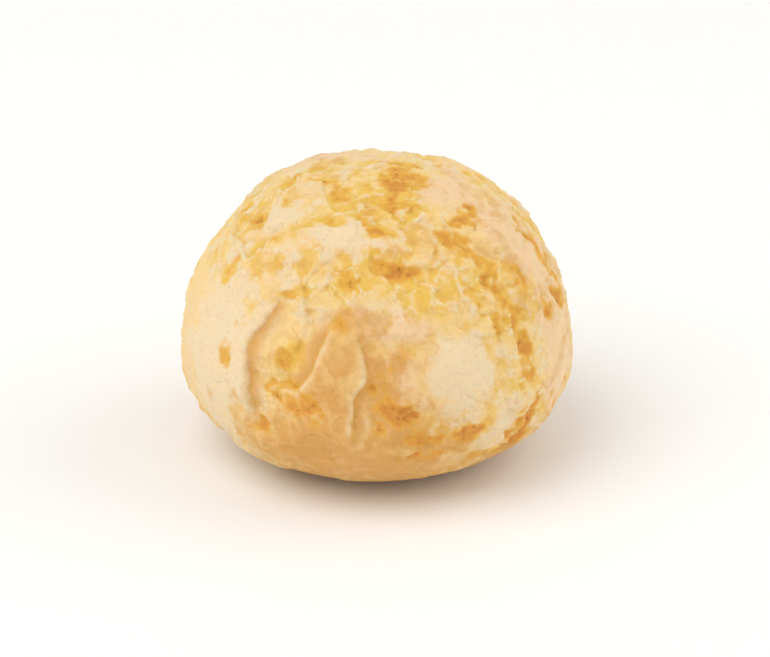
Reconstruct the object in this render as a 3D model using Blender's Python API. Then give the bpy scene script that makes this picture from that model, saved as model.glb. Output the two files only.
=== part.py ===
"""A cheese ball: one small round pao de queijo, baked in one piece, standing on its flat base.

A ball of quads is shaped direction by direction. Above the waist it is a full dome. Below, it is
shallower and squarer, and cut flat where the dough lay on the tray. Over that go broad lumps, the
swollen plates of skin with low seams between them, and the folds where one plate slid over the next.

Frame: metres, +Z up. The origin is in the middle of the box's bottom, on the surface that the ball
stands on. -Y is the front. Longitude turns from the front towards +X, latitude rises from the waist.
"""

import math

import bmesh
import bpy
from mathutils import Vector, noise

NAME = "cheese_ball"

# The baked ball's box, in metres.
WIDTH = 0.052
DEPTH = 0.051
HEIGHT = 0.040

# The profile. The underside's depth is what the dough would have below the waist if no tray cut it.
WAIST = 0.0150
UNDERSIDE_DEPTH = 0.0158
DOME_POWER = 2.15  # 2 would be a plain ellipsoid, and more is squarer
UNDERSIDE_POWER = 2.3

# The skin's relief: how high it is and how wide its features are, in metres.
LUMP_HEIGHT = 0.0005
LUMP_WIDTH = 0.019
PLATE_HEIGHT = 0.0004
PLATE_WIDTH = 0.0145
PLATE_SEAM = 0.45  # the share of a plate's width over which it falls to the seam
RELIEF_STARTS = -0.84  # how far down a direction points where the relief starts, and is full
RELIEF_FULL = -0.45

# Folds as start, end and drop: two (longitude, latitude) pairs in degrees and a step in metres.
# Going from start to end, the skin on the left is the higher one.
FOLDS = (
    ((-42, -14), (-39, 31), 0.0008),
    ((-41, 33), (-12, 33), 0.0008),
    ((-13, 33), (-24, 4), 0.0008),
    ((-6, -18), (-8, 26), 0.0005),
    ((-8, 50), (24, 47), 0.0007),
    ((46, 22), (44, 42), 0.0005),
    ((118, 30), (160, 12), 0.0008),
    ((-150, 45), (-118, 24), 0.0008),
    ((172, 58), (-162, 36), 0.0006),
)
FOLD_LIP = 0.35  # the share of the drop that stands proud on the high side
LIP_WIDTH = 0.0022
TROUGH_WIDTH = 0.0045
FOLD_FADE = 0.22  # the share of a fold's length over which each end dies away

GRID = 24  # squares along each side of the cube that becomes the ball
CRUST_COLOUR = (0.86, 0.62, 0.31, 1.0)
CRUST_ROUGHNESS = 0.62

MEAN_RADIUS = (WIDTH + DEPTH) / 4


def direction(longitude, latitude):
    """The unit vector from the waist's centre to a place given in degrees."""
    turn, rise = math.radians(longitude), math.radians(latitude)
    return Vector(
        (math.sin(turn) * math.cos(rise), -math.cos(turn) * math.cos(rise), math.sin(rise))
    )


def smooth_step(low, high, value):
    """0 below low, 1 above high, and a smooth rise between them."""
    share = min(max((value - low) / (high - low), 0.0), 1.0)
    return share * share * (3 - 2 * share)


def body_point(d):
    """The plain ball's surface in direction d, with the waist's centre at the origin."""
    dome = d.z >= 0
    power = DOME_POWER if dome else UNDERSIDE_POWER
    rise = HEIGHT - WAIST if dome else UNDERSIDE_DEPTH
    reach = (math.hypot(d.x, d.y) ** power + abs(d.z) ** power) ** (-1 / power)
    return Vector((d.x * WIDTH / 2, d.y * DEPTH / 2, d.z * rise)) * reach


def lumps(d):
    """Broad unevenness, as of dough rolled by hand."""
    place = d * MEAN_RADIUS / LUMP_WIDTH
    finer = place * 2 + Vector((7.3, 1.9, 4.1))
    return LUMP_HEIGHT * (noise.noise(place) + 0.5 * noise.noise(finer))


def plates(d):
    """Swollen plates of skin, which meet in low seams."""
    distances, _ = noise.voronoi(d * MEAN_RADIUS / PLATE_WIDTH + Vector((3.7, 0.4, 8.2)))
    return PLATE_HEIGHT * (smooth_step(0, PLATE_SEAM, distances[1] - distances[0]) - 1)


def fold(d, start, end, drop):
    """A step in the skin along the arc from start to end, with a lip and a trough."""
    begin, finish = direction(*start), direction(*end)
    left = begin.cross(finish).normalized()
    length = begin.angle(finish)
    along = math.atan2(d.dot(left.cross(begin)), d.dot(begin)) / length
    ends = smooth_step(-FOLD_FADE, FOLD_FADE, along) * smooth_step(-FOLD_FADE, FOLD_FADE, 1 - along)
    aside = math.asin(min(max(d.dot(left), -1.0), 1.0)) * MEAN_RADIUS
    if aside > 0:
        return ends * drop * FOLD_LIP * math.exp(-aside / LIP_WIDTH)
    return -ends * drop * (1 - FOLD_LIP) * math.exp(aside / TROUGH_WIDTH)


def skin_point(d):
    """The ball's surface in direction d, with its relief, and cut flat by the tray."""
    relief = lumps(d) + plates(d) + sum(fold(d, *given) for given in FOLDS)
    point = body_point(d) + d * relief * smooth_step(RELIEF_STARTS, RELIEF_FULL, d.z)
    point.z = max(point.z, -WAIST)
    return point


def quad_ball(bm):
    """A unit ball of even squares: a gridded cube whose vertices are moved out to the sphere."""
    bmesh.ops.create_cube(bm, size=2)
    bmesh.ops.subdivide_edges(bm, edges=bm.edges, cuts=GRID - 1, use_grid_fill=True)
    for vertex in bm.verts:
        # The tangent keeps the squares even, which would otherwise crowd at the cube's corners.
        even = Vector([math.tan(value * math.pi / 4) for value in vertex.co])
        vertex.co = even.normalized()


def fit_to_box(bm):
    """Scales the ball to its exact box, with the origin in the middle of the bottom."""
    low = Vector([min(v.co[axis] for v in bm.verts) for axis in range(3)])
    high = Vector([max(v.co[axis] for v in bm.verts) for axis in range(3)])
    middle = Vector(((low.x + high.x) / 2, (low.y + high.y) / 2, low.z))
    scale = [size / (high[axis] - low[axis]) for axis, size in enumerate((WIDTH, DEPTH, HEIGHT))]
    for vertex in bm.verts:
        vertex.co = Vector([(vertex.co[axis] - middle[axis]) * scale[axis] for axis in range(3)])


def crust_material():
    material = bpy.data.materials.new("crust")
    material.use_nodes = True
    shader = material.node_tree.nodes["Principled BSDF"]
    shader.inputs["Base Color"].default_value = CRUST_COLOUR
    shader.inputs["Roughness"].default_value = CRUST_ROUGHNESS
    shader.inputs["Metallic"].default_value = 0.0
    return material


def cheese_ball():
    bm = bmesh.new()
    quad_ball(bm)
    for vertex in bm.verts:
        vertex.co = skin_point(vertex.co)
    fit_to_box(bm)
    bmesh.ops.triangulate(bm, faces=bm.faces)
    bmesh.ops.recalc_face_normals(bm, faces=bm.faces)
    mesh = bpy.data.meshes.new(NAME)
    bm.to_mesh(mesh)
    bm.free()
    mesh.shade_smooth()
    mesh.materials.append(crust_material())
    ball = bpy.data.objects.new(NAME, mesh)
    bpy.context.scene.collection.objects.link(ball)
    return ball


def main():
    for thing in list(bpy.data.objects):
        bpy.data.objects.remove(thing)
    cheese_ball()


main()
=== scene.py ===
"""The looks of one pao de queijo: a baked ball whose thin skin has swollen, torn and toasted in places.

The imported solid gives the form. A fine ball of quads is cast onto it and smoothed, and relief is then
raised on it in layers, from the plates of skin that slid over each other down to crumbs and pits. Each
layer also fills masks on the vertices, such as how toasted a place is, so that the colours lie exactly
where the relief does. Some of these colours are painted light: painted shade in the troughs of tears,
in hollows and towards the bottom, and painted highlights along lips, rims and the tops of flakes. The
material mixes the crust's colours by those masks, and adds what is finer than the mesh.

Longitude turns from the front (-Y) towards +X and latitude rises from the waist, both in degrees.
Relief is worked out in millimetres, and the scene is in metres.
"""

import math

import bpy
import numpy as np
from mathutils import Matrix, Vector
from mathutils.bvhtree import BVHTree


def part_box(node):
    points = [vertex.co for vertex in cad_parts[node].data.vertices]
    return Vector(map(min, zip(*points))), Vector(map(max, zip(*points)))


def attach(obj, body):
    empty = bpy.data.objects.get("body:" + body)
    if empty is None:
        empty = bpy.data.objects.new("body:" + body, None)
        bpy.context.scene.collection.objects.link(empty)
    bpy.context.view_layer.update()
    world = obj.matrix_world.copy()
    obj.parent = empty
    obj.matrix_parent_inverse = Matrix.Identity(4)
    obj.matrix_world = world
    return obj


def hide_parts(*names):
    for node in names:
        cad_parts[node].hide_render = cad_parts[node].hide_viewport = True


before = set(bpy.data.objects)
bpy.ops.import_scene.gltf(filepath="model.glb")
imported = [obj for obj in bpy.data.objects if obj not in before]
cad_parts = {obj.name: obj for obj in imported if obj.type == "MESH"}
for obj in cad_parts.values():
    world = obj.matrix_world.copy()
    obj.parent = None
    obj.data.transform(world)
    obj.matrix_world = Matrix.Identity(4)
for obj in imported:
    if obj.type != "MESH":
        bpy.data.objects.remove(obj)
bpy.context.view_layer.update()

SOLID = "cheese_ball"
PIECE = "baked_crust"
MM = 0.001
LOW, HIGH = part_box(SOLID)
WAIST_SHARE = 0.375  # the widest level's height, as a share of the ball's
WAIST = Vector((0, 0, WAIST_SHARE * HIGH.z))  # the middle of that level, which directions start from
MEAN_RADIUS = (HIGH.x - LOW.x + HIGH.y - LOW.y) / 4 / MM

# The fine ball.
NOISE_SEED = 4
GRID = 128  # squares along each side of the cube that becomes the ball
FACET_SMOOTHING = 26  # rounds of averaging that take out the solid's facets
HOLLOW_SMOOTHING = 30  # rounds that give the surroundings a hollow is measured against
UV_NAME = "OFBake"
UV_MARGIN = 0.012  # the share of a side's UV square left free along each of its edges
# The mask for toasting also carries painted shade in tear troughs and hollows. Pale also carries painted
# highlights on lips, rims and flake tops, and tan carries painted shade in troughs and towards the
# bottom.
MASKS = ("skin", "yellow", "peach", "pale", "tan", "toast_and_shade", "low")  # low rises down the ball

# Torn edges of the skin, as the places they run through and the height of the step, in millimetres.
# Going from the first place to the last, the skin on the left is the higher one.
TEARS = (
    (((-40, -18), (-41, 4), (-42, 17), (-36, 29), (-35, 34)), 0.6),
    (((-38, 31), (-26, 34), (-10, 33)), 0.25),
    (((-12, 31), (-17, 19), (-22, 9), (-34, 5)), 0.7),
    (((-6, -14), (-7, 3), (-3, 14), (-8, 28)), 0.65),
    (((-8, 51), (4, 47), (18, 45), (28, 49)), 0.4),
    (((42, 18), (44, 28), (38, 40)), 0.25),
    (((60, -12), (64, 8), (60, 24)), 0.15),
    (((118, 30), (138, 26), (160, 12)), 0.7),
    (((100, 2), (118, -8), (140, -2)), 0.45),
    (((-150, 45), (-136, 36), (-118, 24)), 0.7),
    (((-104, 34), (-98, 14), (-112, -6)), 0.45),
    (((172, 58), (-178, 44), (-162, 36)), 0.6),
    (((-172, -10), (-158, 6), (-166, 20)), 0.5),
)

# How a tear is shaped and coloured, with widths in millimetres. Its colours are painted shade in the
# trough and a painted highlight along the lip.
TEAR_LIP = 0.4  # the share of the step that stands proud on the high side
TEAR_WANDER = 0.6  # how far a tear strays from its curve
LIP_WIDTH = 1.8
TROUGH_WIDTH = 2.4
TEAR_EDGE = 0.35  # half the width over which the high side drops to the low one
OVERHANG = 0.15  # how far the high side leans over the low one, as a share of the step
OVERHANG_WIDTH = 0.8
FULL_STEP = 0.65  # a step from which a tear's colours show in full
TEAR_FADE = 0.25  # the share of a tear's length over which each end dies away

# Heights of the relief, in millimetres.
SKIN_THICKNESS = 0.18  # how far whole skin stands over the crumb beside it
TOAST_SINK = 0.25  # how far the most toasted places sink
FULL_HOLLOW = 0.25  # how far below its surroundings a place is to count as a full hollow
PLATE_RISE, PLATE_RIM = 0.6, 0.12
COARSE_FLAKE, COARSE_RIM = 0.34, 0.08
FINE_FLAKE, FINE_RIM = 0.20, 0.04
CRUMB_GRAIN = 0.10
WRINKLE, DIMPLE = 0.14, 0.16

# Broad patches: the mask, its strength, how far its noise is moved so that no two patterns match, how
# wide its features are in millimetres, and the levels of noise between which the mask fills.
PATCHES = (
    ("skin", 1.0, 40, 13, 0.05, 0.3),
    ("peach", 0.45, 80, 11, -0.15, 0.3),
    ("yellow", 1.0, 100, 6, -0.2, 0.3),
    ("pale", 0.4, 120, 5, -0.1, 0.3),
    ("tan", 0.4, 160, 9, 0.0, 0.4),
)

# Mottles: the mask, how far its noise is moved, its width in millimetres and how much more it shows
# in crumb than in whole skin.
MOTTLES = (
    ("pale", 320, 2.6, 0.8),
    ("peach", 340, 5.0, 0.2),
)
SKIN_MOTTLE = 0.3  # how much they show in whole skin

# What each kind of area sets the masks to, and how far it is sunk, in millimetres.
KINDS = {
    "smooth": ({"skin": 1.0, "toast_and_shade": -0.5, "yellow": 0.2, "tan": 0.0}, 0.0),
    "pale": ({"skin": 1.0, "toast_and_shade": -0.6, "yellow": 0.0, "pale": 1.2, "tan": 0.0, "peach": 0.0}, 0.0),
    "peach": ({"skin": 0.9, "toast_and_shade": -0.3, "yellow": 0.0, "pale": 0.2, "peach": 1.0}, 0.0),
    "tan": ({"skin": 0.9, "toast_and_shade": -0.2, "tan": 0.9, "pale": 0.0}, 0.0),
    "crumb": ({"skin": 0.0, "toast_and_shade": 0.0, "yellow": 0.7, "peach": 0.1}, 0.0),
    "yellow": ({"skin": 0.1, "yellow": 1.0, "peach": 0.0, "pale": 0.0}, 0.1),
    "golden": ({"skin": 0.2, "yellow": 1.2, "toast_and_shade": 0.3, "pale": 0.0}, 0.1),
    "toasted": ({"skin": 0.1, "toast_and_shade": 0.65, "pale": 0.0}, 0.15),
}

# Areas that look different, as (longitude, latitude), half sizes in millimetres, a turn in degrees,
# the kind and how much of it shows.
AREAS = (
    ((-60, 8), (9, 16), 0, "smooth", 1.0),
    ((27, 12), (8.0, 9.0), -12, "smooth", 0.6),
    ((-84, 34), (8, 14), 0, "smooth", 0.9),
    ((-56, 8), (8.0, 14), 0, "pale", 0.85),
    ((-74, 14), (4, 13), 0, "peach", 0.5),
    ((-25, 18), (6.0, 7.0), 0, "smooth", 0.9),
    ((-25, 28), (5.4, 2.4), 0, "pale", 0.3),
    ((-26, 14), (5.0, 5.0), 0, "tan", 0.35),
    ((-13, 2), (4.2, 7.4), 0, "tan", 0.95),
    ((-11, 24), (3.6, 2.6), 0, "tan", 0.5),
    ((-4, -16), (16, 6), 0, "tan", 0.9),
    ((-7, 29), (4.0, 2.2), -8, "tan", 0.9),
    ((-22, -7), (4.0, 3.0), 0, "tan", 0.4),
    ((8, 28), (4.4, 3.2), 0, "peach", 0.9),
    ((6, 12), (3.6, 4.6), 0, "peach", 0.6),
    ((3, 12), (2.6, 5.0), 0, "tan", 1.0),
    ((13, 9), (5.0, 8.0), 0, "tan", 0.4),
    ((40, 4), (10, 12), 0, "crumb", 0.6),
    ((26, 13), (5.2, 6.6), -12, "pale", 0.45),
    ((26, 13), (3.2, 4.6), -12, "pale", 0.8),
    ((44, -4), (4.0, 3.0), 0, "pale", 0.4),
    ((40, -11), (4.0, 3.0), 0, "pale", 0.6),
    ((78, 36), (6, 14), 0, "peach", 0.9),
    ((64, 66), (6.0, 3.6), 0, "peach", 1.0),
    ((64, 44), (4.6, 4.6), 20, "peach", 0.9),
    ((68, 4), (4.6, 10.0), 0, "peach", 0.8),
    ((78, -8), (2.0, 1.4), 20, "toasted", 0.7),
    ((86, 12), (2.6, 1.6), -30, "golden", 0.8),
    ((-56, 52), (13, 9), 0, "crumb", 1.0),
    ((-10, 56), (14, 8), 0, "crumb", 1.0),
    ((-58, 52), (3.0, 2.4), 0, "pale", 0.8),
    ((-42, 63), (3.6, 2.0), 0, "pale", 0.3),
    ((-17, 55), (4.2, 2.6), 0, "pale", 0.8),
    ((-8, 33), (9, 2.2), 0, "pale", 0.3),
    ((-55, 43), (3.4, 2.4), 0, "yellow", 0.7),
    ((20, 38), (9, 4), 0, "crumb", 0.8),
    ((50, 24), (4, 9), 0, "crumb", 0.65),
    ((16, -6), (9, 3.0), 0, "crumb", 0.9),
    ((-3, 41), (9, 3), 0, "yellow", 0.6),
    ((42, 29), (4.0, 5.0), 0, "golden", 0.7),
    ((42, 28), (2.2, 3.6), 0, "toasted", 0.8),
    ((40, 36), (1.4, 3.0), 0, "golden", 0.5),
    ((9, 44), (4.8, 2.4), -10, "golden", 0.9),
    ((2, 47), (3.0, 1.6), 0, "golden", 0.5),
    ((-46, 50), (2.0, 1.6), 0, "golden", 0.9),
    ((-45, 41), (2.4, 1.2), 10, "golden", 0.8),
    ((-60, 34), (1.2, 2.4), 0, "golden", 0.8),
    ((-67, 50), (2.4, 1.6), 30, "golden", 0.9),
    ((-27, 60), (2.0, 1.0), 0, "golden", 0.9),
    ((8, 58), (3.2, 1.4), 0, "golden", 0.9),
    ((-10, 40), (1.6, 1.8), 0, "golden", 0.9),
    ((20, 76), (7.0, 4.0), 0, "golden", 1.0),
    ((-8, 70), (4.4, 1.8), 0, "golden", 0.7),
    ((50, 81), (4.4, 3.6), 0, "toasted", 0.9),
    ((16, 67), (2.0, 1.2), 0, "toasted", 0.8),
    ((-58, 72), (4.6, 1.2), 10, "toasted", 0.6),
    ((40, 50), (3.6, 3.6), -30, "toasted", 1.0),
    ((54, 55), (3.2, 2.4), 0, "toasted", 1.0),
    ((-28, 15), (2.0, 2.0), 0, "toasted", 0.6),
    ((-24, 4), (6.2, 2.2), -22, "toasted", 1.0),
    ((-34, -7), (2.2, 2.4), 0, "toasted", 0.8),
    ((80, 27), (2.6, 7.0), 0, "toasted", 0.8),
    ((70, 20), (2.2, 3.0), 0, "toasted", 0.7),
    ((58, 27), (2.2, 3.6), 0, "golden", 1.0),
    ((51, 11), (1.7, 5.4), -6, "toasted", 0.9),
    ((50, -12), (2.4, 4.4), -25, "toasted", 1.0),
    ((9, 0), (2.6, 1.7), 0, "toasted", 0.9),
    ((28, -7), (2.6, 1.4), 20, "toasted", 0.65),
    ((14, -8), (2.6, 0.9), 0, "toasted", 0.7),
    ((1, 11), (1.8, 3.6), 0, "toasted", 0.9),
    ((14, -14), (4.4, 1.0), 0, "toasted", 0.8),
    ((-20, -14), (4.4, 0.9), 0, "golden", 0.8),
    ((36, -18), (3.6, 0.9), 0, "golden", 0.8),
    ((104, 34), (5, 8), 20, "crumb", 1.0),
    ((96, 8), (4, 5), 0, "yellow", 0.8),
    ((92, 58), (4, 3), 0, "crumb", 0.8),
    ((118, 18), (7, 9), 0, "smooth", 0.9),
    ((-160, 8), (6, 7), 0, "smooth", 0.9),
    ((-122, 10), (6, 8), 0, "peach", 0.8),
    ((-150, 64), (7, 5), 0, "peach", 0.8),
    ((-140, 34), (6, 5), 0, "crumb", 1.0),
    ((160, 60), (8, 6), 0, "crumb", 1.0),
    ((-98, 30), (3, 5), 10, "toasted", 0.8),
    ((150, 36), (4, 3), 20, "toasted", 0.8),
    ((178, 28), (3, 4), 0, "toasted", 0.8),
    ((100, -4), (3.4, 2.2), 20, "toasted", 0.8),
    ((140, -4), (2.6, 1.8), 0, "toasted", 0.9),
    ((-130, -6), (3.4, 1.8), -20, "toasted", 0.9),
    ((-178, -4), (2.4, 1.6), 0, "toasted", 0.8),
)

# Toasted pits, as (longitude, latitude), half sizes and depth in millimetres, and a turn in degrees.
PITS = (
    ((9, 0), (1.5, 1.2), 0.35, 20),
    ((1, -3), (0.8, 0.9), 0.30, 0),
    ((15, -8), (1.8, 0.7), 0.25, 5),
    ((29, -8), (1.3, 1.0), 0.32, 30),
    ((51, -13), (1.3, 2.8), 0.50, -25),
    ((-31, 34), (1.3, 0.5), 0.22, 0),
    ((-28, 15), (1.3, 1.2), 0.40, 0),
    ((9, 20), (1.0, 1.2), 0.15, 0),
    ((-10, 40), (1.1, 1.2), 0.30, 0),
    ((-12, 28), (0.9, 0.9), 0.35, 0),
    ((-1, 9), (0.6, 1.0), 0.35, 20),
    ((71, 19), (0.8, 0.8), 0.35, 0),
)
MORE_PITS = 30  # scattered over all but the top and the underside
PIT_SEED = 11
PIT_REACH = 2.2  # how far out a pit's colours end, in half sizes
PIT_RIM = 1.5  # how far out its rim lies
RIM_SHARE = 0.1  # the rim's height, as a share of the depth
MOST_BURNT = 0.75

# Colours as they look in even white light, as sRGB numbers.
CREAM = (242, 209, 142)
YELLOW = (236, 194, 90)
PEACH = (240, 206, 161)
PALE = (238, 215, 176)
TAN = (220, 166, 92)
GOLD = (231, 176, 72)
ORANGE = (216, 146, 62)
BROWN = (164, 94, 42)
TOAST_RED_AND_SHADE = (224, 148, 72)
FLOOR = (254, 253, 251)

# How the masks colour the crust, in this order: the mask, the levels between which its colour comes in
# and the colour.
PAINTS = (
    ("yellow", 0.0, 1.0, YELLOW),
    ("peach", 0.0, 1.0, PEACH),
    ("pale", 0.1, 1.0, PALE),
    ("tan", 0.0, 1.0, TAN),
    ("toast_and_shade", 0.08, 0.55, GOLD),
    ("toast_and_shade", 0.45, 0.90, ORANGE),
    ("toast_and_shade", 0.85, 1.25, BROWN),
)

# The material, with widths and depths in millimetres.
EDGE_NOISE = 0.35  # how far noise finer than the mesh shifts the masks
WARP_WIDTH, WARP_REACH = 2.0, 1.6
GRAIN_WIDTH = 0.8
MOTTLE_WIDTH = 2.4
FINE_WIDTH = 0.5
SPECK_WIDTH = 1.2
PORE_WIDTH = 1.1
CRACK_WIDTH = 3.4
RELIEF_DEPTH = 0.2
SCATTER_SCALE = 1.1
SCATTER_REACH = (1.0, 0.5, 0.2)  # red light goes furthest through the crust
CRUMB_ROUGHNESS, SKIN_ROUGHNESS = 0.66, 0.50

# The studio: each light's name, longitude, latitude, distance and width in metres, and power in watts.
LIGHTS = (
    ("key", -56, 55, 1.1, 1.1, 5.95),
    ("fill", 95, 35, 1.1, 1.1, 3.3),
)
WORLD_STRENGTH = 0.5
CAMERA_HEIGHT = 24  # in degrees above the ball's middle
CAMERA_DISTANCE = 0.500  # from there, in metres
LENS, SENSOR = 177, 36  # in millimetres
BALL_TO_AIM = Vector((0.0011, 0, -0.0036))  # from the ball's middle to where the camera is aimed


# ---------------------------------------------------------------- noise

class Noise:
    """Gradient noise and cell patterns in space, the same each run."""

    STRETCH = 1.6  # brings gradient noise to about -1 to 1
    OCTAVE_SHIFT, AXIS_SHIFT = 17.3, 31.7  # far enough that moved noise has nothing in common
    RIM_WIDTH = 4  # a flake's raised rim, against the width over which flakes blend

    def __init__(self, seed):
        random = np.random.default_rng(seed)
        self.order = random.permutation(256)
        slopes = random.normal(size=(256, 3))
        self.slopes = slopes / np.linalg.norm(slopes, axis=1, keepdims=True)
        self.jitter = random.random((256, 3))
        self.level = random.random(256)
        self.spin = np.linalg.qr(random.normal(size=(3, 3)))[0]  # turns the lattice out of sight

    def _entry(self, cell):
        """Which of the 256 table entries belongs to each whole-numbered cell."""
        found = self.order[cell[:, 0] & 255]
        found = self.order[(found + cell[:, 1]) & 255]
        return self.order[(found + cell[:, 2]) & 255]

    def smooth(self, places):
        """Gradient noise, about -1 to 1, with features one unit wide."""
        places = places @ self.spin
        cell = np.floor(places).astype(np.int64)
        within = places - cell
        ease = within**3 * (within * (within * 6 - 15) + 10)
        total = np.zeros(len(places))
        for corner in np.ndindex(2, 2, 2):
            offset = np.array(corner)
            slope = self.slopes[self._entry(cell + offset)]
            value = ((within - offset) * slope).sum(1)
            total += value * np.where(offset, ease, 1 - ease).prod(1)
        return total * self.STRETCH

    def layered(self, places, width, octaves=3, rough=0.5):
        """Octaves of smooth noise added up, the broadest with features that wide."""
        total = np.zeros(len(places))
        share, shares = 1.0, 0.0
        for octave in range(octaves):
            total += share * self.smooth(places * 2**octave / width + self.OCTAVE_SHIFT * octave)
            shares += share
            share *= rough
        return total / shares

    def warped(self, places, width, reach):
        """The places moved about by noise, so that what is built on them has no straight lines."""
        shift = [self.layered(places + self.AXIS_SHIFT * axis, width, 2) for axis in range(3)]
        return places + reach * np.stack(shift, 1)

    def cells(self, places, width, tilt=0.0):
        """For a pattern of cells, each at its own level from 0 to 1 and tilted its own way: the gap
        to the next cell, as a share of the width, and the levels of this cell and of the next."""
        scaled = places @ self.spin / width
        cell = np.floor(scaled).astype(np.int64)
        near = np.full((2, len(places)), 9.0)
        level = np.zeros((2, len(places)))
        for offset in np.ndindex(3, 3, 3):
            other = cell + np.array(offset) - 1
            entry = self._entry(other)
            away = scaled - other - self.jitter[entry]
            distance = np.linalg.norm(away, axis=1)
            here = self.level[entry] + tilt * (away * self.slopes[entry]).sum(1)
            first, second = distance < near[0], distance < near[1]
            near[1] = np.where(first, near[0], np.where(second, distance, near[1]))
            level[1] = np.where(first, level[0], np.where(second, here, level[1]))
            near[0] = np.where(first, distance, near[0])
            level[0] = np.where(first, here, level[0])
        return near[1] - near[0], level[0], level[1]

    def flakes(self, places, width, tilt, blend):
        """Tilted flakes that overlap like shingles: their level, and how near a raised rim is."""
        gap, own, other = self.cells(places, width, tilt)
        level = other + (own - other) * smooth_step(-blend, blend, gap)
        return level, smooth_step(self.RIM_WIDTH * blend, 0, gap) * smooth_step(0.1, 0.5, own - other)


def smooth_step(low, high, values):
    """0 below low, 1 above high and a smooth rise between them, or the reverse where low is higher."""
    share = np.clip((values - low) / (high - low), 0, 1)
    return share * share * (3 - 2 * share)


def direction(longitude, latitude):
    """The unit vector from the waist's centre to a place given in degrees."""
    turn, rise = math.radians(longitude), math.radians(latitude)
    across = math.cos(rise)
    return np.array((math.sin(turn) * across, -math.cos(turn) * across, math.sin(rise)))


# ---------------------------------------------------------------- the fine ball

def quad_ball(count):
    """A ball made from a cube: unit directions, quads, and a UV place for each quad's corner."""
    step = np.arange(count)
    across, along = np.meshgrid(step, step, indexing="ij")
    round_outward = ((0, 0), (1, 0), (1, 1), (0, 1))
    corners, uvs = [], []
    for side in range(6):
        axis, far = side % 3, side // 3
        for right, up in round_outward if far else round_outward[::-1]:
            place = np.zeros((count, count, 3), int)
            place[..., axis] = far * count
            place[..., (axis + 1) % 3] = across + right
            place[..., (axis + 2) % 3] = along + up
            corners.append(place.reshape(-1, 3))
            spot = np.stack((across + right, along + up), -1).reshape(-1, 2) / count
            spot = UV_MARGIN + (1 - 2 * UV_MARGIN) * spot
            uvs.append((spot + (axis, far)) / (3, 2))
    corners = np.array(corners).reshape(6, 4, -1, 3).transpose(0, 2, 1, 3).reshape(-1, 3)
    uvs = np.array(uvs).reshape(6, 4, -1, 2).transpose(0, 2, 1, 3).reshape(-1, 2)
    lattice, quads = np.unique(corners, axis=0, return_inverse=True)
    # The tangent keeps the squares even, which would otherwise crowd at the cube's corners.
    ways = np.tan((lattice * 2 / count - 1) * math.pi / 4)
    return ways / np.linalg.norm(ways, axis=1, keepdims=True), quads.reshape(-1, 4), uvs


def cast(ways):
    """How far the solid's surface lies from the waist's centre in each direction, in millimetres."""
    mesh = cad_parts[SOLID].data
    polygons = [polygon.vertices for polygon in mesh.polygons]
    tree = BVHTree.FromPolygons([vertex.co for vertex in mesh.vertices], polygons)
    return np.array([tree.ray_cast(WAIST, Vector(way))[3] for way in ways]) / MM


def averaged(values, quads, rounds):
    """The values, mixed with their neighbours' that many times."""
    first, second = quads.ravel(), np.roll(quads, 1, axis=1).ravel()
    neighbours = 2 * np.bincount(first)
    for _ in range(rounds):
        total = np.bincount(first, values[second]) + np.bincount(second, values[first])
        values = (values + total / neighbours) / 2
    return values


def outward(points, quads):
    """The unit normal at each point."""
    one, two, three, four = points[quads].transpose(1, 0, 2)
    normal = np.cross(three - one, four - two)
    total = np.zeros_like(points)
    for corner in range(4):
        np.add.at(total, quads[:, corner], normal)
    return total / np.linalg.norm(total, axis=1, keepdims=True)


# ---------------------------------------------------------------- the crust's relief

class Crust:
    """The surface while it is made: its places, the relief raised on it and the masks that colour it."""

    def __init__(self, ways, places):
        self.ways = ways
        self.places = places
        self.height = np.zeros(len(ways))
        self.slide = np.zeros_like(ways)
        self.masks = {name: np.zeros(len(ways)) for name in MASKS}

    def at_least(self, name, values):
        self.masks[name] = np.maximum(self.masks[name], values)

    def towards(self, name, value, share):
        self.masks[name] += (value - self.masks[name]) * share

    def around(self, place, half_sizes, turn):
        """How far out each point lies from a place, where 1 is on the ellipse of those half sizes."""
        middle = direction(*place)
        east = np.cross((0, 0, 1), middle)
        east /= np.linalg.norm(east)
        north = np.cross(middle, east)
        spin = math.radians(turn)
        right = math.cos(spin) * east + math.sin(spin) * north
        up = math.cos(spin) * north - math.sin(spin) * east
        span = np.hypot(self.ways @ right / half_sizes[0], self.ways @ up / half_sizes[1])
        return np.where(self.ways @ middle > 0, span * MEAN_RADIUS, 99)


def curve_through(places):
    """Unit vectors along a smooth curve through places given in degrees."""
    points = np.array([direction(*place) for place in places])
    points = np.vstack((2 * points[0] - points[1], points, 2 * points[-1] - points[-2]))
    share = np.linspace(0, 1, 16, endpoint=False)[:, None]
    found = []
    for before, start, end, after in zip(points, points[1:], points[2:], points[3:]):
        bend = (2 * before - 5 * start + 4 * end - after) * share**2
        twist = (3 * start - before - 3 * end + after) * share**3
        found.append(start + ((end - before) * share + bend + twist) / 2)
    found = np.vstack((*found, points[-2:-1]))
    return found / np.linalg.norm(found, axis=1, keepdims=True)


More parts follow.
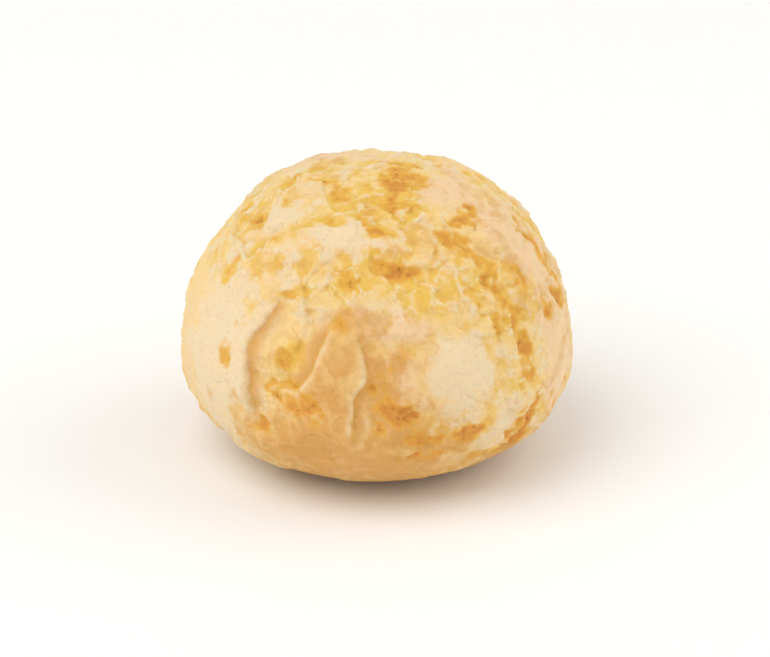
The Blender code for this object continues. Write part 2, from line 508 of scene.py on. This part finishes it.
def add_tear(crust, noise, places, step):
    """One torn edge: a raised lip over a trough, both ragged and dying away at the ends."""
    curve = curve_through(places)
    travel = np.gradient(curve, axis=0)
    travel /= np.linalg.norm(travel, axis=1, keepdims=True)
    left = np.cross(curve, travel)
    nearest = np.argmax(crust.ways @ curve.T, axis=1)
    along = nearest / (len(curve) - 1)
    ends = smooth_step(0, TEAR_FADE, along) * smooth_step(0, TEAR_FADE, 1 - along)
    aside = (crust.ways * left[nearest]).sum(1) * MEAN_RADIUS
    aside += TEAR_WANDER * noise.layered(crust.places + 5, width=4.0)
    away = np.abs(aside)
    high = smooth_step(-TEAR_EDGE, TEAR_EDGE, aside)
    lip = TEAR_LIP * np.exp(-away / LIP_WIDTH)
    trough = (TEAR_LIP - 1) * np.exp(-away / TROUGH_WIDTH)
    crust.height += ends * step * (trough + (lip - trough) * high)
    lean = -OVERHANG * step * high * np.exp(-away / OVERHANG_WIDTH)
    crust.slide += (ends * lean)[:, None] * left[nearest]
    # Painted shade in the trough and a painted highlight on the lip, stronger for higher steps.
    paint_tear_shade_highlight(crust, ends * min(1, step / FULL_STEP) ** 2, high, away)


def paint_tear_shade_highlight(crust, tint, high, away):
    """A tear's colours: painted shade in the trough, tan and slightly golden, and a painted highlight,
    pale, along the lip.
    """
    trough, lip = tint * (1 - high), tint * high
    crust.at_least("tan", trough * np.exp(-((away / 2.2) ** 2)))
    crust.masks["toast_and_shade"] += 0.22 * trough * np.exp(-away / 1.0)
    crust.at_least("pale", 0.9 * lip * np.exp(-away / 0.7))
    crust.masks["tan"] *= 1 - 0.8 * lip * np.exp(-away / 0.6)


def add_pit(crust, ragged, place, half_sizes, depth, turn):
    """One toasted pit with a low rim."""
    out = crust.around(place, half_sizes, turn) + 1.3 * ragged
    near = out < PIT_REACH
    bowl = smooth_step(1.4, 0.1, out)
    rim = np.exp(-(((out - PIT_RIM) / 0.25) ** 2))
    crust.height[near] += (RIM_SHARE * depth * rim - depth * bowl)[near]
    burn = min(0.15 + 1.2 * depth, MOST_BURNT)
    crust.at_least("toast_and_shade", np.where(near, smooth_step(1.9, 0.1, out) * burn, 0))
    crust.at_least("yellow", np.where(near, smooth_step(PIT_REACH, 0.9, out), 0))


def lay_skin(crust, noise):
    """Where the skin is whole and where it broke up into crumb, and the broad colours of both."""
    for name, strength, offset, width, low, high in PATCHES:
        level = noise.layered(crust.places + offset, width, rough=0.55)
        crust.masks[name] = strength * smooth_step(low, high, level)
    down = -crust.ways[:, 2]
    # Towards the bottom the skin is whole and tan, partly browning on the tray and partly painted shade
    # on the lower ball.
    crust.at_least("skin", smooth_step(0.25, 0.6, down))
    crust.at_least("tan", 0.9 * smooth_step(0.0, 0.7, down))
    crust.at_least("low", smooth_step(-0.16, 0.04, down))
    crust.masks["toast_and_shade"] = -0.1 - 0.35 * crust.masks["skin"]  # crumb toasts sooner than skin


def paint_areas(crust, noise):
    """The listed areas, each with a ragged border."""
    ragged = 0.9 * noise.layered(crust.places + 9, width=4.0, rough=0.65)
    for place, half_sizes, turn, kind, strength in AREAS:
        share = strength * smooth_step(1.5, 0.45, crust.around(place, half_sizes, turn) + ragged)
        targets, sunk = KINDS[kind]
        for name, value in targets.items():
            crust.towards(name, value, share)
        crust.height -= sunk * share


def mottle(crust, noise):
    """Breaks up the broad colours, into golden mottles most of all, where the skin isn't whole."""
    masks, broken = crust.masks, 1 - crust.masks["skin"]
    for name, offset, width, more in MOTTLES:
        shift = noise.layered(crust.places + offset, width, rough=0.6) * (SKIN_MOTTLE + more * broken)
        masks[name] = smooth_step(0.0, 1.0, masks[name] + shift)
    warped = noise.warped(crust.places, width=3.0, reach=1.6)
    gold = noise.layered(warped + 200, width=3.2)
    gold = gold + 0.35 * noise.layered(crust.places + 230, width=7, octaves=2)
    yellow = smooth_step(-0.25, 0.35, gold + 0.5 * (masks["yellow"] - 0.5))
    masks["yellow"] = yellow * (0.15 + 0.85 * broken)
    gold = gold * (1 - 0.5 * np.clip(masks["toast_and_shade"], 0, 1))
    masks["toast_and_shade"] = 0.75 * smooth_step(0.08, 0.80, gold + masks["toast_and_shade"])
    blotch = noise.layered(warped + 260, width=1.8, rough=0.6) * (1 - masks["pale"])
    masks["tan"] += 0.7 * blotch
    crust.height -= TOAST_SINK * masks["toast_and_shade"]


def add_plates(crust, noise):
    """Plates of skin at slightly different heights, which overlap along their borders."""
    warped = noise.warped(crust.places, width=7, reach=2.4)
    level, rim = noise.flakes(warped, width=10.5, tilt=0.5, blend=0.04)
    crust.height += PLATE_RISE * (level - 0.5) + PLATE_RIM * rim
    crust.masks["peach"] += 0.4 * (level - 0.5)


def add_crumb(crust, noise):
    """Flakes and crumbs where the skin broke up, with raised rims that carry a painted highlight in
    pale.
    """
    broken = 1 - crust.masks["skin"]
    warped = noise.warped(crust.places, width=2.6, reach=1.0) * (1, 1, 1.3)
    coarse, coarse_rim = noise.flakes(warped, width=3.4, tilt=0.9, blend=0.09)
    fine, fine_rim = noise.flakes(warped + 50, width=1.6, tilt=0.9, blend=0.12)
    grain = noise.layered(crust.places + 70, width=1.2, octaves=2)
    flakes = COARSE_FLAKE * (coarse - 0.5) + FINE_FLAKE * (fine - 0.5)
    crust.height += broken * (flakes + CRUMB_GRAIN * grain)
    crust.height += broken * (COARSE_RIM * coarse_rim + FINE_RIM * fine_rim)
    # Painted highlight: pale where light catches the raised rims.
    crust.masks["pale"] += broken * (0.45 * coarse_rim + 0.25 * fine_rim)
    ragged = crust.masks["skin"] + 0.5 * noise.layered(warped + 110, width=2.4, rough=0.6)
    crust.height += SKIN_THICKNESS * smooth_step(0.4, 0.6, ragged)


def add_wrinkles(crust, noise):
    """Faint wrinkles and dimples in the whole skin."""
    whole = crust.masks["skin"]
    stretched = noise.warped(crust.places * (1, 1, 0.5), width=5, reach=2.0)
    ridge = 1 - np.abs(noise.layered(stretched + 90, width=2.6, octaves=2))
    dimple = noise.layered(crust.places + 150, width=4.5, octaves=2)
    crust.height += whole * (WRINKLE * (ridge - 0.7) + DIMPLE * dimple)


def shade_hollows_light_tops(crust, quads):
    """Gold in the hollows of the crumb, partly toasting that gathers there and partly painted shade, and
    pale tops on its flakes as painted light.
    """
    broken = 0.25 + 0.75 * (1 - crust.masks["skin"])
    around = averaged(crust.height, quads, HOLLOW_SMOOTHING)
    hollow = np.clip((around - crust.height) / FULL_HOLLOW, -1, 1)
    # Painted shade goes into the hollows and painted light onto the tops.
    crust.masks["toast_and_shade"] += broken * 0.15 * hollow
    crust.masks["yellow"] += broken * 0.35 * np.maximum(hollow, 0)
    crust.masks["pale"] += broken * 0.35 * np.maximum(-hollow, 0)


def add_pits(crust, noise):
    """The listed pits, and more of them scattered over the ball."""
    warped = noise.warped(crust.places, width=1.5, reach=0.6)
    ragged = noise.layered(warped + 3, width=1.6, rough=0.7)
    for place, half_sizes, depth, turn in PITS:
        add_pit(crust, ragged, place, half_sizes, depth, turn)
    random = np.random.default_rng(PIT_SEED)
    for _ in range(MORE_PITS):
        place = (random.uniform(-175, 185), math.degrees(math.asin(random.uniform(-0.5, 0.98))))
        size = 0.4 + 1.0 * random.random() ** 2
        stretch = random.uniform(0.6, 1.6)
        depth = size * random.uniform(0.18, 0.36)
        add_pit(crust, ragged, place, (size, size * stretch), depth, random.uniform(0, 180))


def fitted(points):
    """The points scaled to fill the solid's box exactly."""
    low, high = points.min(0), points.max(0)
    return np.array(LOW) + (points - low) * (np.array(HIGH - LOW) / (high - low))


def build_crust():
    ways, quads, uvs = quad_ball(GRID)
    reach = averaged(cast(ways), quads, FACET_SMOOTHING)
    places = np.array(WAIST) / MM + ways * reach[:, None]
    noise = Noise(NOISE_SEED)
    crust = Crust(ways, places)
    lay_skin(crust, noise)
    paint_areas(crust, noise)
    mottle(crust, noise)
    add_plates(crust, noise)
    add_crumb(crust, noise)
    add_wrinkles(crust, noise)
    for route, step in TEARS:
        add_tear(crust, noise, route, step)
    add_pits(crust, noise)
    shade_hollows_light_tops(crust, quads)
    clear = smooth_step(-0.62, -0.5, ways[:, 2])  # 0 on the flat spot, which stays flat
    points = places + outward(places, quads) * (crust.height * clear)[:, None]
    points += crust.slide * clear[:, None]
    points[:, 2] = np.maximum(points[:, 2], 0)
    return mesh_piece(fitted(points * MM), quads, uvs, crust.masks)


def mesh_piece(points, quads, uvs, masks):
    mesh = bpy.data.meshes.new(PIECE)
    mesh.from_pydata(points.tolist(), [], quads.tolist())
    mesh.uv_layers.new(name=UV_NAME).data.foreach_set("uv", uvs.astype(np.float32).ravel())
    for name, values in masks.items():
        layer = mesh.attributes.new(name, "FLOAT", "POINT")
        layer.data.foreach_set("value", np.clip(values, 0, 1).astype(np.float32))
    mesh.shade_smooth()
    piece = bpy.data.objects.new(PIECE, mesh)
    bpy.context.scene.collection.objects.link(piece)
    return piece


# ---------------------------------------------------------------- materials

def linear(colour):
    """An sRGB colour, as numbers from 0 to 255, as the linear colour that a shader takes."""
    shares = [value / 255 for value in colour]
    return [s / 12.92 if s < 0.04045 else ((s + 0.055) / 1.055) ** 2.4 for s in shares] + [1.0]


class Nodes:
    """Short names for making and joining a material's nodes."""

    def __init__(self, material):
        material.use_nodes = True
        self.tree = material.node_tree
        self.shader = self.tree.nodes["Principled BSDF"]

    def add(self, kind, values=None, **settings):
        node = self.tree.nodes.new("ShaderNode" + kind)
        for name, value in settings.items():
            setattr(node, name, value)
        for name, value in (values or {}).items():
            self.feed(node.inputs[name], value)
        return node

    def feed(self, socket, value):
        """Sets a socket to a value, or joins it to another node's socket."""
        if isinstance(value, bpy.types.NodeSocket):
            self.tree.links.new(value, socket)
        else:
            socket.default_value = value

    def mask(self, name):
        return self.add("Attribute", attribute_name=name).outputs["Fac"]

    def maths(self, operation, one, two=0.0, three=0.0):
        values = {0: one, 1: two, 2: three}
        return self.add("Math", values, operation=operation).outputs[0]

    def ramp(self, value, low, high, least=0.0, most=1.0):
        """A smooth step from least to most as the value goes from low to high."""
        values = {"Value": value, "From Min": low, "From Max": high, "To Min": least, "To Max": most}
        return self.add("MapRange", values, interpolation_type="SMOOTHSTEP").outputs["Result"]

    def mix(self, share, one, two):
        node = self.add("Mix", data_type="RGBA")
        self.feed(node.inputs[0], share)
        self.feed(node.inputs[6], one)
        self.feed(node.inputs[7], linear(two))
        return node.outputs[2]

    def noise(self, place, width, detail=3.0, rough=0.55):
        """Noise from 0 to 1 with features that many millimetres wide."""
        values = {"Vector": place, "Scale": 1 / width, "Detail": detail, "Roughness": rough}
        return self.add("TexNoise", values).outputs["Fac"]

    def cells(self, place, width, **settings):
        """The distance to a cell's middle, or its edge, with cells that many millimetres wide."""
        values = {"Vector": place, "Scale": 1 / width}
        return self.add("TexVoronoi", values, **settings).outputs["Distance"]


def crust_material():
    material = bpy.data.materials.new("crust")
    nodes = Nodes(material)
    place = nodes.add("TexCoord").outputs["Object"]
    place = nodes.add("VectorMath", {0: place, "Scale": 1 / MM}, operation="SCALE").outputs[0]
    values = {"Vector": place, "Scale": 1 / WARP_WIDTH, "Detail": 2.0}
    wobble = nodes.add("TexNoise", values).outputs["Color"]
    values = {0: wobble, 1: (WARP_REACH,) * 3, 2: place}
    warped = nodes.add("VectorMath", values, operation="MULTIPLY_ADD").outputs[0]

    grain = nodes.noise(place, GRAIN_WIDTH, 4)
    mottle = nodes.noise(warped, MOTTLE_WIDTH, 3)
    skin = nodes.mask("skin")

    # Noise finer than the mesh roughens the edges of each mask.
    both = nodes.maths("ADD", grain, mottle)
    shift = nodes.maths("MULTIPLY_ADD", both, EDGE_NOISE, -EDGE_NOISE)
    colour = linear(CREAM)
    for name, low, high, paint in PAINTS:
        share = nodes.ramp(nodes.maths("ADD", nodes.mask(name), shift), low, high)
        colour = nodes.mix(share, colour, paint)

    # What is toasted low on the ball is painted redder, partly browning on the tray and partly painted
    # warm shade on the lower ball.
    toasted = nodes.ramp(nodes.mask("toast_and_shade"), 0.25, 0.6)
    redder = nodes.maths("MULTIPLY", toasted, nodes.mask("low"))
    colour = nodes.mix(nodes.maths("MULTIPLY", redder, 0.45), colour, TOAST_RED_AND_SHADE)

    # Fine grain, in colour here and in relief below.
    fine = nodes.noise(place, FINE_WIDTH, 3, 0.65)
    colour = nodes.mix(nodes.ramp(fine, 0.54, 0.74, 0.0, 0.4), colour, TAN)

    # Dark specks in what is toasted most.
    speck = nodes.ramp(nodes.cells(warped, SPECK_WIDTH), 0.24, 0.12)
    speck = nodes.maths("MULTIPLY", speck, nodes.ramp(nodes.mask("toast_and_shade"), 0.35, 0.75))
    colour = nodes.mix(nodes.maths("MULTIPLY", speck, 0.5), colour, BROWN)

    # Hairline cracks in the whole skin.
    crack = nodes.cells(warped, CRACK_WIDTH, feature="DISTANCE_TO_EDGE")
    crack = nodes.ramp(crack, 0.03, 0.0)
    some = nodes.ramp(nodes.noise(place, 3, 2), 0.56, 0.66)
    crack = nodes.maths("MULTIPLY", nodes.maths("MULTIPLY", crack, some), nodes.ramp(skin, 0.4, 0.8))
    colour = nodes.mix(nodes.maths("MULTIPLY", crack, 0.2), colour, ORANGE)
    nodes.feed(nodes.shader.inputs["Base Color"], colour)

    rough = nodes.ramp(skin, 0.2, 0.9, CRUMB_ROUGHNESS, SKIN_ROUGHNESS)
    nodes.feed(nodes.shader.inputs["Roughness"], nodes.maths("MULTIPLY_ADD", grain, 0.12, rough))
    nodes.shader.inputs["Specular IOR Level"].default_value = 0.35
    nodes.shader.inputs["Subsurface Weight"].default_value = 0.5
    nodes.shader.inputs["Subsurface Radius"].default_value = SCATTER_REACH
    nodes.shader.inputs["Subsurface Scale"].default_value = SCATTER_SCALE * MM

    # Relief finer than the mesh: grain, pores and the cracks.
    relief = nodes.maths("MULTIPLY", fine, nodes.ramp(skin, 0.3, 0.9, -1.2, -0.8))
    pore = nodes.ramp(nodes.cells(warped, PORE_WIDTH), 0.05, 0.30)
    relief = nodes.maths("MULTIPLY_ADD", pore, 0.5, relief)
    relief = nodes.maths("SUBTRACT", relief, nodes.maths("MULTIPLY", crack, 0.5))
    bump = nodes.add("Bump", {"Height": relief, "Strength": 0.8, "Distance": RELIEF_DEPTH * MM})
    nodes.feed(nodes.shader.inputs["Normal"], bump.outputs["Normal"])
    return material


def plain_material(name, colour, roughness):
    material = bpy.data.materials.new(name)
    nodes = Nodes(material)
    nodes.shader.inputs["Base Color"].default_value = linear(colour)
    nodes.shader.inputs["Roughness"].default_value = roughness
    return material


# ---------------------------------------------------------------- the studio

def add_floor():
    """A round pale floor that curves up into a low wall far away, so that no horizon shows."""
    radius, bend, wall, turns = 0.9, 0.5, 0.9, 96
    profile = [(0.0, 0.0), (radius, 0.0)]
    for step in range(1, 13):
        angle = math.radians(90 * step / 12)
        profile.append((radius + bend * math.sin(angle), bend * (1 - math.cos(angle))))
    profile.append((radius + bend, bend + wall))
    points = [(0.0, 0.0, 0.0)]
    for reach, height in profile[1:]:
        for turn in range(turns):
            angle = 2 * math.pi * turn / turns
            points.append((reach * math.cos(angle), reach * math.sin(angle), height))
    faces = [(0, 1 + turn, 1 + (turn + 1) % turns) for turn in range(turns)]
    for ring in range(len(profile) - 2):
        start = 1 + ring * turns
        for turn in range(turns):
            after = (turn + 1) % turns
            faces.append((start + turn, start + turns + turn, start + turns + after, start + after))
    mesh = bpy.data.meshes.new("studio_floor")
    mesh.from_pydata(points, [], faces)
    mesh.materials.append(plain_material("studio_pale", FLOOR, 0.8))
    mesh.shade_smooth()
    floor = bpy.data.objects.new("studio_floor", mesh)
    bpy.context.scene.collection.objects.link(floor)


def aim(thing, place, target):
    """Puts a light or the camera in a place, facing the target."""
    thing.location = place
    thing.rotation_euler = (Vector(target) - Vector(place)).to_track_quat("-Z", "Y").to_euler()
    bpy.context.scene.collection.objects.link(thing)


def add_light(name, longitude, latitude, distance, size, power):
    light = bpy.data.lights.new(name, "AREA")
    light.shape = "DISK"
    light.size = size
    light.energy = power
    thing = bpy.data.objects.new(name, light)
    aim(thing, Vector(direction(longitude, latitude)) * distance + WAIST, WAIST)


def add_world(strength):
    world = bpy.data.worlds.new("studio")
    bpy.context.scene.world = world
    world.use_nodes = True
    background = world.node_tree.nodes["Background"]
    background.inputs["Color"].default_value = (1.0, 1.0, 1.0, 1.0)
    background.inputs["Strength"].default_value = strength


def add_camera():
    """The camera at the photo's height above the ball, which stands left of and above the middle."""
    camera = bpy.data.cameras.new("camera")
    camera.lens = LENS
    camera.sensor_width = SENSOR
    camera.clip_start = 0.01
    thing = bpy.data.objects.new("camera", camera)
    middle = Vector((0, 0, HIGH.z / 2))
    place = middle + Vector(direction(0, CAMERA_HEIGHT)) * CAMERA_DISTANCE
    aim(thing, place + BALL_TO_AIM, middle + BALL_TO_AIM)
    bpy.context.scene.camera = thing


crust = build_crust()
crust.data.materials.append(crust_material())
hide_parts(SOLID)
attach(crust, "root")

add_floor()
for light in LIGHTS:
    add_light(*light)
add_world(WORLD_STRENGTH)
add_camera()
bpy.context.scene.view_settings.view_transform = "Standard"
